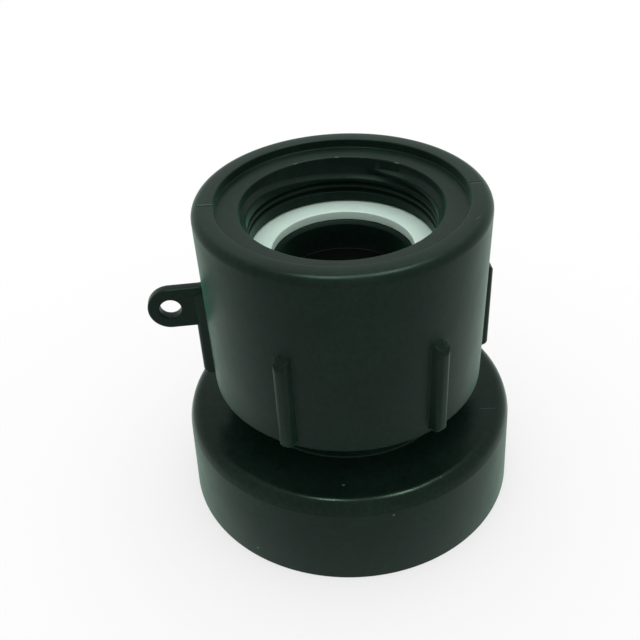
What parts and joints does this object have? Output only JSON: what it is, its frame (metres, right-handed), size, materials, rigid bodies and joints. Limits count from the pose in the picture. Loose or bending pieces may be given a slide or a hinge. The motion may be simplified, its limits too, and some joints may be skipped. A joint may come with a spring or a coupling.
{
  "type": "ibc tap adapter",
  "caption": "Black moulded plastic adapter that joins the coarse outlet thread of a bulk container to a smaller tap thread, with grip ribs, a lanyard eyelet and flat sealing rings.",
  "frame": {"origin": "centre of the tank end's bottom rim, on the common axis of both sockets", "axes": "+Z along the axis from the tank socket to the tap socket; the lanyard eyelet points along -X"},
  "size_m": [0.1159, 0.1092, 0.1052],
  "materials": {
    "body_plastic": "satin, as moulded",
    "tap_seal": "smooth, white with a faint green cast",
    "tank_seal": "matt"
  },
  "bodies": {
    "root": {"adapter_body": "body_plastic", "tap_gasket": "tap_seal", "tank_gasket": "tank_seal"}
  },
  "joints": []
}
